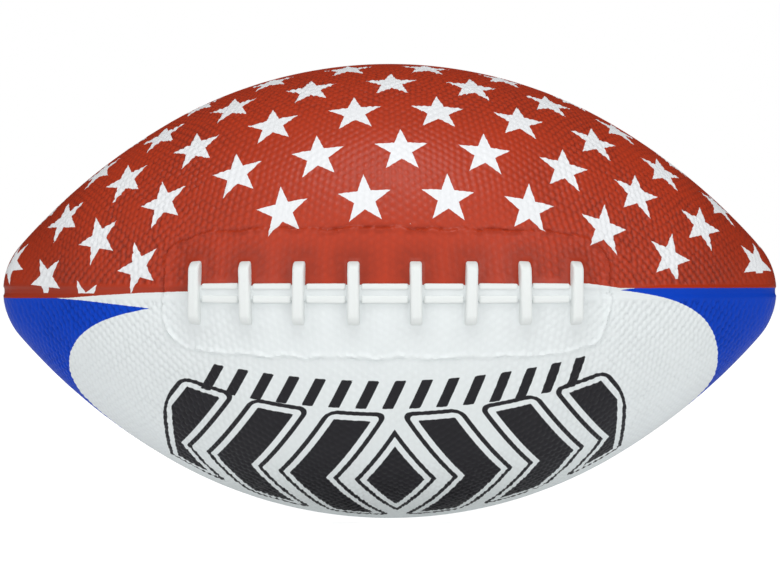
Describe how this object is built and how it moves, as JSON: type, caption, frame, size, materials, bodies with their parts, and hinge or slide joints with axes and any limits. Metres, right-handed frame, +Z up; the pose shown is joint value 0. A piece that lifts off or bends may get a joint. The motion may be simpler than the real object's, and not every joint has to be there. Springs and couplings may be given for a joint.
{
  "type": "american football",
  "caption": "Moulded rubber American football of a junior size: pebbled, panelled cover with raised lacing over a wound carcass and an air bladder with a needle valve.",
  "frame": {"origin": "middle of the ball, on its long axis, halfway between the tips", "axes": "+X along the long axis from tip to tip, -Y out through the middle of the lacing, +Z up, so the laced seam lies level at the front"},
  "size_m": [0.2248, 0.1342, 0.132],
  "materials": {
    "cover_red": "semi-gloss painted, pebbled, with white stars",
    "cover_white": "semi-gloss painted, pebbled, with blue ends and a black print",
    "lace_white": "smooth moulded, satin",
    "valve_rubber": "matte",
    "bladder_rubber": "matte butyl rubber",
    "nylon_thread": "wound thread",
    "carcass_rubber": "matte",
    "patch_cloth": "rubbered cloth"
  },
  "bodies": {
    "root": {"bladder": "bladder_rubber", "valve_seat": "valve_rubber", "valve_plug": "valve_rubber", "nylon_winding": "nylon_thread", "rubber_carcass": "carcass_rubber", "lacing_patch": "patch_cloth", "panel_front_upper": "cover_red", "panel_front_lower": "cover_white", "panel_back_upper": "cover_red", "panel_back_lower": "cover_white", "lace_strand_upper": "lace_white", "lace_strand_lower": "lace_white", "cross_lace_1": "lace_white", "cross_lace_2": "lace_white", "cross_lace_3": "lace_white", "cross_lace_4": "lace_white", "cross_lace_5": "lace_white", "cross_lace_6": "lace_white", "cross_lace_7": "lace_white", "cross_lace_8": "lace_white"}
  },
  "joints": []
}
